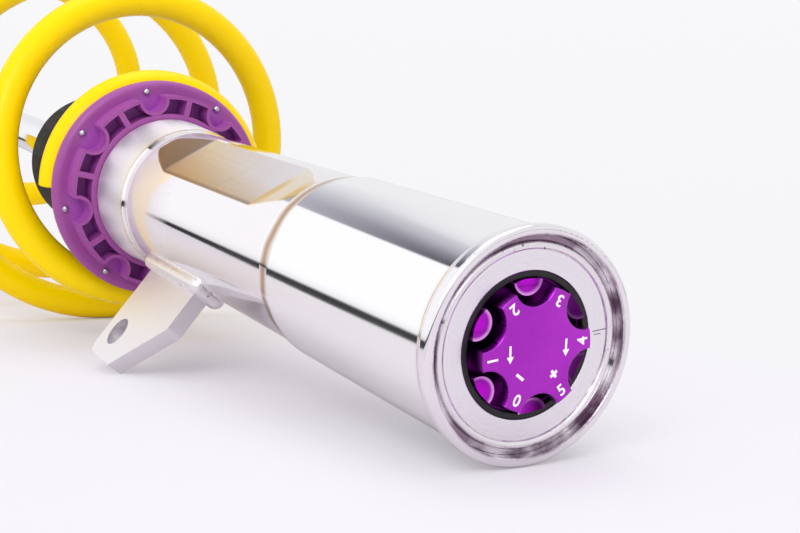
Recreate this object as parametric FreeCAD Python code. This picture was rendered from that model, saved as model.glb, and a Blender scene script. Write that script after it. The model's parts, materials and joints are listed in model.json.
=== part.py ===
import FreeCAD, Part
import math
import os

# Coilover strut, millimetres. It is drawn upright along its own axis, with
# height 0 at the open rim of the knuckle sleeve, and is then laid down as it
# rests on a table: on the rim, the bracket corner and the second spring turn.
# Turn angles are about that axis, 0 at the top of the lying strut.
V = FreeCAD.Vector

# Strut housing
SLEEVE_R = 27.5
SLEEVE_T = 1.05
SLEEVE_H = 90.0
SLEEVE_CONE_H = 6.5
SLEEVE_CONE_STEP = 0.35
LIP_STEP = 1.35
LIP_H = 6.0
LIP_EDGE_R = 1.15
TUBE_WALL = 2.5
TUBE_START = 3.0
SHOULDER_START = 217.0
SHOULDER_H = 4.0
COLLAR_STEP = 0.8
COLLAR_FLARE = 1.4
COLLAR_TOP = 246.5
NECK_STEP = 1.0
TUBE_TOP = 346.0

# Pressed flat that clears the drive shaft
FLAT_DEPTH = 2.3
FLAT_START = 118.0
FLAT_END = 193.0
FLAT_RAMP = 21.0
FLAT_ANGLE = 330.2

# Threaded sleeve, drawn at its thread's pitch radius
THREAD_WALL = 2.55
THREAD_RUN = 0.05

# Clearances
PRESS = 0.05
RUN = 0.04
SLIDE = 0.02
FREE = 0.3

# Bottom cap, its weld and the bump adjuster
CAP_FACE = 2.5
CAP_H = 13.5
CAP_LAND = 6.05
CAP_BORE_DEPTH = 7.0
WELD_GROOVE = 1.1
WELD_RISE = 0.9
SEAL_GAP = 1.0
SEAL_LIP = 0.6
SEAL_LEG = 1.0
CUP_TOP = 4.4
CUP_WALL = 1.2
CUP_FLOOR = 6.0
CUP_FOOT_H = 1.1
BOSS_R = 4.0
BOSS_INSET = 4.4
BOSS_TOP = 1.2
BOSS_DISH = 0.8
ORING_H = 1.8
KNOB_LOBES = 6
KNOB_GAP = 1.8
KNOB_FACE = -2.0
KNOB_PLATE_H = 2.5
KNOB_LOBE_W = 4.8
KNOB_VALLEY = 4.5
KNOB_HUB_R = 8.0
KNOB_ANGLE = 82.8
KNOB_EDGE_R = 0.35
SPINDLE_R = 2.5
SPINDLE_LEN = 31.4
BALL_R = 1.5
BALL_CIRCLE_R = 5.5
BALL_RISE = 0.5
DETENT_SPRING_R = 1.2
DETENT_HOLE_DEPTH = 3.5

# Sway bar link bracket
BRACKET_T = 6.0
BRACKET_FIN = 218.2
BRACKET_LOW = 162.5
BRACKET_HIGH = 205.0
BRACKET_OUT = 38.8
BRACKET_CHAMFER = 21.0
BRACKET_CORNER_R = 4.5
LINK_HOLE_R = 5.25
LINK_HOLE_DOWN = 10.5
LINK_HOLE_OUT = 27.9
WELD_BEAD_R = 3.3
WELD_BEAD_OFF = 0.9

# Damper inside
OIL_GAP = 4.9
CYLINDER_WALL = 1.5
FOOT_FLANGE_H = 11.0
FOOT_HOLE_R = 2.2
FOOT_HOLE_ANGLE = 30.0
SPIGOT_H = 8.0
GUIDE_H = 19.0
SEAL_H = 3.9
GLAND_H = 4.0
GLAND_SET = 0.4
WIPER_WALL = 2.4
WIPER_RISE = 1.5
ROD_R = 9.0
ROD_BORE_R = 3.2
ROD_TIP_STEP = 2.0
ROD_END_STEP = 1.0
ROD_FOOT_STEP = 3.0
BUSH_WALL = 0.95
PISTON_LOW = 268.0
PISTON_H = 14.0
PISTON_HOLE_R = 1.8
BAND_H = 8.0
BAND_T = 1.2
SHIM_H = 2.0
SHIM_T = 0.6
PISTON_NUT_H = 9.0
PISTON_NUT_AF = 19.0
STOP_H = 5.0
STOP_GAP = 3.5
BUFFER_H = 9.5
BUFFER_GAP = 2.5

# Spring perch
PERCH_FACE = 247.0
PERCH_HUB_WALL = 2.55
PERCH_POCKET_DEPTH = 9.0
PERCH_POCKET_W = 5.7
PERCH_RIB_T = 1.4
PERCH_RIM = 4.85
PERCH_FLANGE_H = 6.0
PERCH_EDGE_R = 2.4
PERCH_SPIGOT_H = 4.0
PERCH_SPIGOT_LEAD = 0.8
PERCH_ANGLE = 34.2
SCALLOPS = 8
SCALLOP_R = 5.9
SCALLOP_WALL = 1.2
SPOKE_T = 2.2
RIB_CORNER_R = 1.2
PIN_R = 1.3
PIN_OUT = 1.1
PIN_H = 3.0
PIN_SHOW = 0.2
SLIP_INSET = 0.9
SLIP_OUTSET = 2.35
SLIP_H = 1.2
SLIP_RECESS = 1.0

# Main spring: a right-hand coil, narrow at both ends, its belly bowed
WIRE_R = 6.6
SPRING_START_ANGLE = 269.4
SPRING_DEAD = 200.0
SPRING_EASE = 170.0
SPRING_PITCH = 88.3
SPRING_GAIN = -5.9
SPRING_GAIN_FROM = 700.0
SPRING_END = 1440.0
SPRING_TAIL_GAP = 1.1
SPRING_FLARE = 36.7
SPRING_SEAT_OVER = 300.0
SPRING_FLARE_FROM = 254.0
SPRING_FLARE_OVER = 230.0
SPRING_BELLY_FROM = 414.0
SPRING_BELLY_OVER = 320.0
SPRING_NECK = 39.5
SPRING_NECK_FROM = 1090.0
SPRING_NECK_OVER = 410.0
SPRING_LEAN = 8.7
SPRING_BOW = 7.75
SPRING_BOW_ANGLE = 70.0
SPRING_BOW_H = 246.0

# Upper end of the rod
ROD_SHOULDER = 612.0
BUMP_STOP_H = 46.0
BUMP_STOP_WALL = 9.0
BUMP_WAIST = 3.0
TOP_WASHER_H = 3.0
TOP_WASHER_R = 17.5
TOP_NUT_AF = 21.0
TOP_NUT_H = 8.0
TIP_THREAD_SHOW = 3.0
ROD_TIP_LEN = 25.0
GRIP_STEP = 0.6
GRIP_H = 9.0
GRIP_FLUTES = 12
GRIP_FLUTE_R = 0.7
REBOUND_ROD_GAP = 0.08

# Lean of the axis on the table, from the rim to the spring
LEAN = 7.5


# Places that follow from the sizes above
SLEEVE_BORE_R = SLEEVE_R - SLEEVE_T
LIP_R = SLEEVE_R + LIP_STEP
TUBE_R = SLEEVE_BORE_R - PRESS
TUBE_IN_R = TUBE_R - TUBE_WALL
COLLAR_R = TUBE_R + COLLAR_STEP
NECK_R = TUBE_R - NECK_STEP
THREAD_BORE_R = NECK_R + PRESS
THREAD_PITCH_R = THREAD_BORE_R + THREAD_WALL
CAP_TOP = CAP_FACE + CAP_H
CAP_SEAT = CAP_FACE + CAP_BORE_DEPTH
CAP_R = TUBE_IN_R - PRESS
CAP_BORE_R = CAP_R - CAP_LAND
CUP_R = CAP_BORE_R - SEAL_GAP
SEAL_IN_R = CUP_R - SEAL_LIP
BOSS_INNER_R = CUP_R - BOSS_INSET
KNOB_R = CUP_R - KNOB_GAP
KNOB_VALLEY_R = KNOB_R - KNOB_VALLEY
BRACKET_REACH = TUBE_R + BRACKET_OUT
LINK_HOLE_H = BRACKET_HIGH - LINK_HOLE_DOWN
LINK_HOLE_REACH = TUBE_R + LINK_HOLE_OUT
CYLINDER_OUT_R = TUBE_IN_R - OIL_GAP
CYLINDER_IN_R = CYLINDER_OUT_R - CYLINDER_WALL
CYLINDER_LOW = CAP_TOP + FOOT_FLANGE_H
GLAND_LOW = TUBE_TOP
GLAND_TOP = GLAND_LOW + GLAND_H
GLAND_R = THREAD_PITCH_R - GLAND_SET
SEAL_LOW = TUBE_TOP - SEAL_H
GUIDE_TOP = SEAL_LOW
GUIDE_LOW = GUIDE_TOP - GUIDE_H
GUIDE_SPIGOT_LOW = GUIDE_LOW - SPIGOT_H
WIPER_R = ROD_R + WIPER_WALL
ROD_TIP_R = ROD_R - ROD_TIP_STEP
ROD_END_R = ROD_TIP_R - ROD_END_STEP
ROD_FOOT_R = ROD_R - ROD_FOOT_STEP
PERCH_BORE_R = THREAD_PITCH_R + THREAD_RUN
PERCH_HUB_R = PERCH_BORE_R + PERCH_HUB_WALL
PERCH_RIB_IN_R = PERCH_HUB_R + PERCH_POCKET_W
PERCH_RIB_OUT_R = PERCH_RIB_IN_R + PERCH_RIB_T
PERCH_R = PERCH_RIB_OUT_R + PERCH_RIM
PERCH_FLOOR = PERCH_FACE + PERCH_POCKET_DEPTH
PERCH_TOP = PERCH_FLOOR + PERCH_FLANGE_H
PIN_CIRCLE_R = PERCH_RIB_OUT_R + PIN_OUT
SLIP_IN_R = PERCH_HUB_R + SLIP_INSET
SLIP_OUT_R = PERCH_R - SLIP_OUTSET
SLIP_LOW = PERCH_TOP - SLIP_RECESS
SPRING_SEAT = SLIP_LOW + SLIP_H
SPRING_LOW = SPRING_SEAT + WIRE_R
SPRING_TAIL_R = PERCH_HUB_R + SPRING_TAIL_GAP + WIRE_R
BUMP_STOP_LOW = ROD_SHOULDER - BUMP_STOP_H
BUMP_STOP_R = ROD_R + BUMP_STOP_WALL
NUT_LOW = ROD_SHOULDER + TOP_WASHER_H
NUT_TOP = NUT_LOW + TOP_NUT_H
ROD_END_LOW = NUT_TOP + TIP_THREAD_SHOW
ROD_TOP = NUT_TOP + ROD_TIP_LEN
GRIP_R = ROD_END_R - GRIP_STEP
REBOUND_ROD_R = ROD_BORE_R - REBOUND_ROD_GAP


def spring_rise(turn):
    """height of the wire's centre above its first turn, at a turn angle in degrees"""
    live = max(turn - SPRING_DEAD, 0.0)
    if live < SPRING_EASE:
        run = live * live / (2.0 * SPRING_EASE)
    else:
        run = live - SPRING_EASE / 2.0
    gain = max(turn - SPRING_GAIN_FROM, 0.0) / 360.0
    return SPRING_PITCH / 360.0 * run + SPRING_GAIN * gain * gain


def ease(x):
    """0 to 1 with level ends"""
    x = min(max(x, 0.0), 1.0)
    return x * x * (3.0 - 2.0 * x)


def spring_radius(turn):
    """coil radius: a narrow seated turn, a quick flare, the belly, a narrow top"""
    r = SPRING_TAIL_R + 0.15 * SPRING_FLARE * ease(turn / SPRING_SEAT_OVER)
    r = r + 0.75 * SPRING_FLARE * ease((turn - SPRING_FLARE_FROM) / SPRING_FLARE_OVER)
    r = r + 0.10 * SPRING_FLARE * ease((turn - SPRING_BELLY_FROM) / SPRING_BELLY_OVER)
    return r - SPRING_NECK * ease((turn - SPRING_NECK_FROM) / SPRING_NECK_OVER)


def spring_point(turn):
    """centre of the wire"""
    rise = spring_rise(turn)
    r = spring_radius(turn)
    share = rise / SPRING_BOW_H
    bow = 4.0 * SPRING_BOW * share * (1.0 - share)
    t = math.radians(SPRING_START_ANGLE + turn)
    b = math.radians(SPRING_BOW_ANGLE)
    x = r * math.cos(t) + bow * math.cos(b) + SPRING_LEAN * share
    return V(x, r * math.sin(t) + bow * math.sin(b), SPRING_LOW + rise)


def polar(r, angle, z=0.0):
    t = math.radians(angle)
    return V(r * math.cos(t), r * math.sin(t), z)


def outline(points):
    """closed wire through points (vector, corner radius)"""
    n = len(points)
    legs = []
    for i in range(n):
        p, rad = points[i]
        if rad <= 0:
            legs.append((p, p, None))
            continue
        back = (points[i - 1][0] - p).normalize()
        ahead = (points[(i + 1) % n][0] - p).normalize()
        half = back.getAngle(ahead) / 2.0
        run = rad / math.tan(half)
        mid = (back + ahead).normalize()
        centre = p + mid * (rad / math.sin(half))
        legs.append((p + back * run, p + ahead * run, centre - mid * rad))
    edges = []
    for i in range(n):
        start, end, mid = legs[i]
        if mid is not None:
            edges.append(Part.Arc(start, mid, end).toShape())
        nxt = legs[(i + 1) % n][0]
        if (nxt - end).Length > 1e-6:
            edges.append(Part.LineSegment(end, nxt).toShape())
    return Part.Wire(edges)


def turned(*points):
    """solid of revolution about the strut axis from (radius, height[, corner radius])"""
    pts = [(V(p[0], 0, p[1]), p[2] if len(p) > 2 else 0.0) for p in points]
    return Part.Face(outline(pts)).revolve(V(0, 0, 0), V(0, 0, 1), 360)


def ring(r_in, r_out, z0, z1):
    return turned((r_in, z0), (r_out, z0), (r_out, z1), (r_in, z1))


def rod(r, z0, z1):
    return Part.makeCylinder(r, z1 - z0, V(0, 0, z0))


def drill(r, z0, z1, circle_r, angle):
    return Part.makeCylinder(r, z1 - z0, polar(circle_r, angle, z0))


def spread(count, first):
    return [first + 360.0 * i / count for i in range(count)]


def hexagon(across, z0, z1):
    r = across / math.sqrt(3.0)
    pts = [(polar(r, a, z0), 0.0) for a in spread(6, 0.0)]
    return Part.Face(outline(pts)).extrude(V(0, 0, z1 - z0))


def slab(points, height):
    """flat shape in the plane of its points, pushed by a vector"""
    return Part.Face(outline(points)).extrude(height)


PARTS = {}


def add(name, shape):
    PARTS[name] = shape


# Knuckle sleeve with its turned rim, and the tapered end where it meets the tube
cone_top = SLEEVE_H + SLEEVE_CONE_H
add("knuckle_sleeve", turned(
    (SLEEVE_BORE_R, 0.0, 0.4),
    (LIP_R, 0.0, LIP_EDGE_R),
    (LIP_R, 2.0 + LIP_EDGE_R, 1.6),
    (SLEEVE_R, LIP_H, 2.0),
    (SLEEVE_R, SLEEVE_H, 1.5),
    (SLEEVE_BORE_R + SLEEVE_CONE_STEP, cone_top),
    (SLEEVE_BORE_R, cone_top)))

# Strut tube with the drive shaft flat pressed in, inside and out
flat_floor = TUBE_R - FLAT_DEPTH


def flat_tool(floor):
    far = TUBE_R + 5.0
    rise = (far - floor) * FLAT_RAMP / FLAT_DEPTH
    half = far
    pts = [V(floor, -half, FLAT_START), V(floor, -half, FLAT_END)]
    pts = pts + [V(far, -half, FLAT_END + rise), V(far, -half, FLAT_START - rise)]
    tool = slab([(p, 0.0) for p in pts], V(0, 2.0 * half, 0))
    tool.rotate(V(0, 0, 0), V(0, 0, 1), FLAT_ANGLE)
    return tool


tube_out = turned(
    (0.0, TUBE_START),
    (TUBE_R, TUBE_START),
    (TUBE_R, SHOULDER_START, 4.0),
    (COLLAR_R, SHOULDER_START + SHOULDER_H, 2.0),
    (COLLAR_R + COLLAR_FLARE, COLLAR_TOP, 0.3),
    (NECK_R, COLLAR_TOP),
    (NECK_R, TUBE_TOP),
    (0.0, TUBE_TOP))
tube_in = rod(TUBE_IN_R, TUBE_START, TUBE_TOP)
tube_out = tube_out.cut(flat_tool(flat_floor))
tube_in = tube_in.cut(flat_tool(flat_floor - TUBE_WALL))
groove = turned(
    (TUBE_IN_R - 1.0, TUBE_START - 1.0),
    (TUBE_IN_R + WELD_GROOVE + 1.0, TUBE_START - 1.0),
    (TUBE_IN_R - 1.0, TUBE_START + WELD_GROOVE + 1.0))
add("strut_tube", tube_out.cut(tube_in).cut(groove))

# Bottom cap: bored for the adjuster, its rim bevelled for the weld
weld_foot = TUBE_START + WELD_GROOVE
cap = turned(
    (SPINDLE_R + RUN, CAP_SEAT),
    (CAP_BORE_R, CAP_SEAT),
    (CAP_BORE_R, CAP_FACE, 0.3),
    (CAP_R - WELD_GROOVE, CAP_FACE),
    (CAP_R, weld_foot),
    (CAP_R, CAP_TOP, 0.8),
    (SPINDLE_R + RUN, CAP_TOP))
for a in (0.0, 180.0):
    cap = cap.cut(drill(DETENT_SPRING_R + PRESS, CAP_SEAT, CAP_SEAT + DETENT_HOLE_DEPTH,
                        BALL_CIRCLE_R, KNOB_ANGLE + a))
add("end_cap", cap)

# Weld bead in the groove between the cap and the tube
bead_in = V(CAP_R - WELD_GROOVE, 0, CAP_FACE)
bead_out = V(TUBE_IN_R + WELD_GROOVE, 0, TUBE_START)
bead_top = V((bead_in.x + bead_out.x) / 2.0, 0, CAP_FACE - WELD_RISE)
bead_edges = [
    Part.Arc(bead_in, bead_top, bead_out).toShape(),
    Part.LineSegment(bead_out, V(TUBE_IN_R, 0, weld_foot)).toShape(),
    Part.LineSegment(V(TUBE_IN_R, 0, weld_foot), V(CAP_R, 0, weld_foot)).toShape(),
    Part.LineSegment(V(CAP_R, 0, weld_foot), bead_in).toShape()]
add("cap_weld", Part.Face(Part.Wire(bead_edges)).revolve(V(0, 0, 0), V(0, 0, 1), 360))

# Adjuster cup: six dished bosses stand inside its wall, one in each knob valley
cup_foot_low = CAP_SEAT - CUP_FOOT_H
cup = turned(
    (SPINDLE_R + RUN, CUP_FLOOR),
    (CUP_R - CUP_WALL, CUP_FLOOR),
    (CUP_R - CUP_WALL, CUP_TOP, 0.4),
    (CUP_R, CUP_TOP, 0.4),
    (CUP_R, cup_foot_low),
    (CAP_BORE_R - PRESS, cup_foot_low),
    (CAP_BORE_R - PRESS, CAP_SEAT),
    (SPINDLE_R + RUN, CAP_SEAT))
boss_circle = BOSS_INNER_R + BOSS_R
inside = rod(SEAL_IN_R - PRESS, BOSS_TOP - 1.0, CUP_FLOOR + 1.0)
dish_r = (BOSS_R * BOSS_R + BOSS_DISH * BOSS_DISH) / (2.0 * BOSS_DISH)
for a in spread(KNOB_LOBES, KNOB_ANGLE + 180.0 / KNOB_LOBES):
    boss = drill(BOSS_R, BOSS_TOP, CUP_FLOOR + 0.5, boss_circle, a)
    dish = Part.makeSphere(dish_r, polar(boss_circle, a, BOSS_TOP + BOSS_DISH - dish_r))
    cup = cup.fuse(boss.cut(dish).common(inside))
for a in (0.0, 180.0):
    cup = cup.cut(drill(BALL_R + PRESS, CUP_FLOOR - 0.5, CAP_SEAT + 0.5, BALL_CIRCLE_R, KNOB_ANGLE + a))
add("adjuster_cup", cup.removeSplitter())

# Seal ring on the cup's rim, with a leg down between the cup and the cap bore
seal_face = CAP_FACE + 0.2
add("cup_seal_ring", turned(
    (SEAL_IN_R, seal_face, 0.4),
    (CAP_BORE_R, seal_face, 0.4),
    (CAP_BORE_R, CUP_TOP + SEAL_LEG),
    (CUP_R + SLIDE, CUP_TOP + SEAL_LEG),
    (CUP_R + SLIDE, CUP_TOP),
    (SEAL_IN_R, CUP_TOP)))

# Two detent balls on their springs, under a ring groove in the knob
ball_z = CUP_FLOOR + BALL_R - BALL_RISE
balls = []
coils = []
for a in (0.0, 180.0):
    balls.append(Part.makeSphere(BALL_R, polar(BALL_CIRCLE_R, KNOB_ANGLE + a, ball_z)))
    coils.append(drill(DETENT_SPRING_R, ball_z + BALL_R, CAP_SEAT + DETENT_HOLE_DEPTH,
                       BALL_CIRCLE_R, KNOB_ANGLE + a))
add("detent_balls", Part.makeCompound(balls))
add("detent_springs", Part.makeCompound(coils))

# Bump knob: a six-lobe star on a hub that turns in the cup
plate_end = KNOB_FACE + KNOB_PLATE_H
lobe_half = math.degrees(math.asin(KNOB_LOBE_W / 2.0 / KNOB_R))
valley_half = 180.0 / KNOB_LOBES - lobe_half
star_edges = []
for a in spread(KNOB_LOBES, KNOB_ANGLE):
    tip = polar(KNOB_R, a, KNOB_FACE)
    left = polar(KNOB_R, a - lobe_half, KNOB_FACE)
    right = polar(KNOB_R, a + lobe_half, KNOB_FACE)
    low = polar(KNOB_VALLEY_R, a + lobe_half + valley_half, KNOB_FACE)
    far = polar(KNOB_R, a + lobe_half + 2.0 * valley_half, KNOB_FACE)
    star_edges.append(Part.Arc(left, tip, right).toShape())
    star_edges.append(Part.Arc(right, low, far).toShape())
star = Part.Face(Part.Wire(star_edges)).extrude(V(0, 0, KNOB_PLATE_H))
face_edges = [e for e in star.Edges if abs(e.BoundBox.ZMax - KNOB_FACE) < 1e-4]
star = star.makeFillet(KNOB_EDGE_R, face_edges)
hub_end = CUP_FLOOR - FREE
hub = rod(KNOB_HUB_R, plate_end - 0.5, hub_end)
track = turned(
    (BALL_CIRCLE_R - BALL_R - 0.2, hub_end + 1.0),
    (BALL_CIRCLE_R - BALL_R - 0.2, hub_end - BALL_RISE),
    (BALL_CIRCLE_R + BALL_R + 0.2, hub_end - BALL_RISE),
    (BALL_CIRCLE_R + BALL_R + 0.2, hub_end + 1.0))
spindle_start = KNOB_FACE + 1.6
spindle_end = spindle_start + SPINDLE_LEN
knob = star.fuse(hub).cut(track).cut(rod(SPINDLE_R, spindle_start, hub_end + 1.0))
add("bump_knob", knob.removeSplitter())
add("knob_spindle", turned(
    (0.0, spindle_start),
    (SPINDLE_R, spindle_start),
    (SPINDLE_R, spindle_end - 4.0),
    (0.4, spindle_end),
    (0.0, spindle_end)))

# Foot valve on the cap, with the low end of the inner cylinder on its step
foot = turned(
    (SPINDLE_R + RUN, CAP_TOP),
    (CYLINDER_OUT_R, CAP_TOP, 1.0),
    (CYLINDER_OUT_R, CYLINDER_LOW),
    (CYLINDER_IN_R - PRESS, CYLINDER_LOW),
    (CYLINDER_IN_R - PRESS, CYLINDER_LOW + SPIGOT_H, 0.5),
    (SPINDLE_R + RUN, CYLINDER_LOW + SPIGOT_H))
for a in spread(6, FOOT_HOLE_ANGLE):
    foot = foot.cut(drill(FOOT_HOLE_R, CAP_TOP + 4.0, CYLINDER_LOW + SPIGOT_H + 1.0, CYLINDER_IN_R * 0.62, a))
add("foot_valve", foot)
add("inner_cylinder", ring(CYLINDER_IN_R, CYLINDER_OUT_R, CYLINDER_LOW, GUIDE_LOW))

# Rod guide, bush, seal, gland cap and wiper at the top of the tube
guide_bore = ROD_R + RUN + BUSH_WALL
add("rod_guide", turned(
    (guide_bore, GUIDE_SPIGOT_LOW),
    (CYLINDER_IN_R - PRESS, GUIDE_SPIGOT_LOW, 0.8),
    (CYLINDER_IN_R - PRESS, GUIDE_LOW),
    (TUBE_IN_R - PRESS, GUIDE_LOW, 0.8),
    (TUBE_IN_R - PRESS, GUIDE_TOP),
    (guide_bore, GUIDE_TOP)))
add("guide_bush", ring(ROD_R + RUN, guide_bore - SLIDE, GUIDE_SPIGOT_LOW + 1.0, GUIDE_TOP - 1.0))
add("rod_seal", ring(ROD_R + RUN, TUBE_IN_R - PRESS, SEAL_LOW, TUBE_TOP - 0.05))
gland_bore = WIPER_R + SLIDE
add("gland_cap", turned(
    (gland_bore, GLAND_LOW),
    (GLAND_R, GLAND_LOW),
    (GLAND_R, GLAND_TOP, 1.2),
    (gland_bore, GLAND_TOP, 0.4)))
add("rod_wiper", turned(
    (ROD_R + RUN, GLAND_LOW),
    (WIPER_R, GLAND_LOW),
    (WIPER_R, GLAND_TOP - 0.6),
    (ROD_R + 0.9, GLAND_TOP + WIPER_RISE),
    (ROD_R + RUN, GLAND_TOP + WIPER_RISE)))

# Threaded sleeve, seated on the collar of the tube
add("threaded_sleeve", turned(
    (THREAD_BORE_R, COLLAR_TOP),
    (THREAD_PITCH_R, COLLAR_TOP, 0.4),
    (THREAD_PITCH_R, TUBE_TOP, 0.4),
    (THREAD_BORE_R, TUBE_TOP)))

# Sway bar link bracket: a plate whose root follows the tube
fin = polar(1.0, BRACKET_FIN)
side = polar(1.0, BRACKET_FIN + 90.0)
root_r = TUBE_R - 3.0


def on_plate(reach, height, offset):
    return V(fin.x * reach + side.x * offset, fin.y * reach + side.y * offset, height)


back_face = -BRACKET_T / 2.0
plate_pts = [
    (on_plate(root_r, BRACKET_LOW, back_face), 0.0),
    (on_plate(BRACKET_REACH - BRACKET_CHAMFER, BRACKET_LOW, back_face), 3.0),
    (on_plate(BRACKET_REACH, BRACKET_LOW + BRACKET_CHAMFER, back_face), 0.8),
    (on_plate(BRACKET_REACH, BRACKET_HIGH, back_face), BRACKET_CORNER_R),
    (on_plate(root_r, BRACKET_HIGH, back_face), 0.0)]
plate = slab(plate_pts, side * BRACKET_T)
link_hole = Part.makeCylinder(
    LINK_HOLE_R, BRACKET_T + 4.0,
    on_plate(LINK_HOLE_REACH, LINK_HOLE_H, back_face - 2.0), side)
tube_body = rod(TUBE_R + SLIDE, TUBE_START, TUBE_TOP)
plate = plate.cut(link_hole).cut(tube_body)
add("sway_bar_bracket", plate)

# Weld bead round the bracket's root, rounded, one loop of rods and balls
weld_low = BRACKET_LOW - WELD_BEAD_OFF
weld_high = BRACKET_HIGH + WELD_BEAD_OFF
weld_off = BRACKET_T / 2.0 + WELD_BEAD_OFF
weld_reach = math.sqrt(TUBE_R * TUBE_R - weld_off * weld_off) + WELD_BEAD_OFF / 2.0
beads = []
for sign in (1.0, -1.0):
    low_point = on_plate(weld_reach, weld_low, sign * weld_off)
    high_point = on_plate(weld_reach, weld_high, sign * weld_off)
    beads.append(Part.makeCylinder(WELD_BEAD_R, weld_high - weld_low, low_point))
    beads.append(Part.makeSphere(WELD_BEAD_R, low_point))
    beads.append(Part.makeSphere(WELD_BEAD_R, high_point))
for height in (weld_low, weld_high):
    beads.append(Part.makeCylinder(
        WELD_BEAD_R, 2.0 * weld_off, on_plate(weld_reach, height, -weld_off), side))
whole_plate = slab(plate_pts, side * BRACKET_T)
weld = beads[0].fuse(beads[1:]).removeSplitter().cut(tube_body).cut(whole_plate)
add("bracket_weld", weld)

# Spring perch: hub, pockets between ribs, scalloped outer rib and round flange
hub_shape = turned(
    (PERCH_BORE_R, PERCH_FACE),
    (PERCH_HUB_R, PERCH_FACE, 0.5),
    (PERCH_HUB_R, PERCH_FLOOR + 0.5),
    (PERCH_BORE_R, PERCH_FLOOR + 0.5))
flange = turned(
    (PERCH_BORE_R, PERCH_FLOOR),
    (PERCH_R, PERCH_FLOOR, PERCH_EDGE_R),
    (PERCH_R, PERCH_TOP, PERCH_EDGE_R),
    (SLIP_OUT_R, PERCH_TOP),
    (SLIP_OUT_R, SLIP_LOW),
    (PERCH_HUB_R, SLIP_LOW),
    (PERCH_HUB_R, PERCH_TOP + PERCH_SPIGOT_H - PERCH_SPIGOT_LEAD),
    (PERCH_HUB_R - PERCH_SPIGOT_LEAD, PERCH_TOP + PERCH_SPIGOT_H),
    (PERCH_BORE_R, PERCH_TOP + PERCH_SPIGOT_H))
outer_rib = ring(PERCH_RIB_IN_R, PERCH_RIB_OUT_R, PERCH_FACE, PERCH_FLOOR + 0.5)
rib_disc = rod(PERCH_RIB_OUT_R, PERCH_FACE - 1.0, PERCH_FLOOR + 1.0)
arches = []
openings = []
spokes = []
for a in spread(SCALLOPS, PERCH_ANGLE):
    arches.append(drill(SCALLOP_R, PERCH_FACE, PERCH_FLOOR + 0.5, PERCH_RIB_IN_R, a).common(rib_disc))
    openings.append(drill(SCALLOP_R - SCALLOP_WALL, PERCH_FACE - 1.0, PERCH_FLOOR, PERCH_RIB_IN_R, a))
    spoke = Part.makeBox(
        PERCH_RIB_IN_R - PERCH_HUB_R + 1.0, SPOKE_T, PERCH_POCKET_DEPTH + 0.5,
        V(PERCH_HUB_R - 0.5, -SPOKE_T / 2.0, PERCH_FACE))
    spoke.rotate(V(0, 0, 0), V(0, 0, 1), a + 180.0 / SCALLOPS)
    spokes.append(spoke)
web = outer_rib.fuse(arches + spokes)
for o in openings:
    web = web.cut(o)
web = web.removeSplitter()
corners = []
for e in web.Edges:
    low, high = e.Vertexes[0].Point, e.Vertexes[-1].Point
    upright = abs(low.x - high.x) + abs(low.y - high.y) < 1e-4
    if upright and abs(math.hypot(low.x, low.y) - PERCH_RIB_OUT_R) < 0.01:
        corners.append(e)
web = web.makeFillet(RIB_CORNER_R, corners)
perch = flange.fuse([hub_shape, web])
for a in spread(SCALLOPS, PERCH_ANGLE):
    perch = perch.cut(drill(PIN_R, PERCH_FLOOR - 1.0, PERCH_FLOOR + PIN_H, PIN_CIRCLE_R, a))
add("spring_perch", perch.removeSplitter())
pins = []
for a in spread(SCALLOPS, PERCH_ANGLE):
    shank = drill(PIN_R, PERCH_FLOOR - PIN_SHOW, PERCH_FLOOR + PIN_H, PIN_CIRCLE_R, a)
    pins.append(shank.fuse(Part.makeSphere(PIN_R, polar(PIN_CIRCLE_R, a, PERCH_FLOOR - PIN_SHOW))))
add("perch_pins", Part.makeCompound(pins))

# Slip ring in the perch, under the seated turn of the spring
add("slip_ring", ring(SLIP_IN_R, SLIP_OUT_R - PRESS, SLIP_LOW + SLIDE, SPRING_SEAT))


def arc_between(a, tangent, b):
    """arc from a along its tangent to b"""
    chord = b - a
    along = V(chord).normalize()
    side_way = tangent - along * tangent.dot(along)
    if side_way.Length < 1e-9:
        return Part.LineSegment(a, b).toShape()
    half = tangent.getAngle(along) / 2.0
    mid = (a + b) * 0.5 + side_way.normalize() * (chord.Length / 2.0 * math.tan(half))
    return Part.Arc(a, mid, b).toShape()


def biarc(p, tp, q, tq):
    """two tangent arcs from p to q"""
    v = q - p
    t = tp + tq
    k = 2.0 * (1.0 - tp.dot(tq))
    vt = v.dot(t)
    d = (math.sqrt(vt * vt + k * v.dot(v)) - vt) / k
    joint = (p + tp * d + q - tq * d) * 0.5
    back = arc_between(q, tq * -1.0, joint)
    return [arc_between(p, tp, joint), Part.Arc(
        joint, back.valueAt((back.FirstParameter + back.LastParameter) / 2.0), q).toShape()]


# Main spring: one wire swept along tangent arcs, a quarter turn at a time
quarters = int(round(SPRING_END / 90.0))
stops = [SPRING_END * i / quarters for i in range(quarters + 1)]
centres = [spring_point(s) for s in stops]
headings = [(spring_point(s + 0.5) - spring_point(s - 0.5)).normalize() for s in stops]
path_edges = []
for i in range(quarters):
    path_edges = path_edges + biarc(centres[i], headings[i], centres[i + 1], headings[i + 1])
path = Part.Wire(path_edges)
section = Part.Wire([Part.Circle(centres[0], headings[0], WIRE_R).toShape()])
spring = path.makePipeShell([section], True, False)
add("main_spring", spring)

walk = [spring_point(SPRING_END * i / 600.0) for i in range(601)]
least = min((walk[i] - walk[j]).Length for i in range(601) for j in range(i + 60, 601, 2))
print("spring least gap to itself %.2f mm" % (least - 2.0 * WIRE_R))
print("spring volume / section x length %.4f" % (
    spring.Volume / (math.pi * WIRE_R * WIRE_R * path.Length)))

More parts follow.
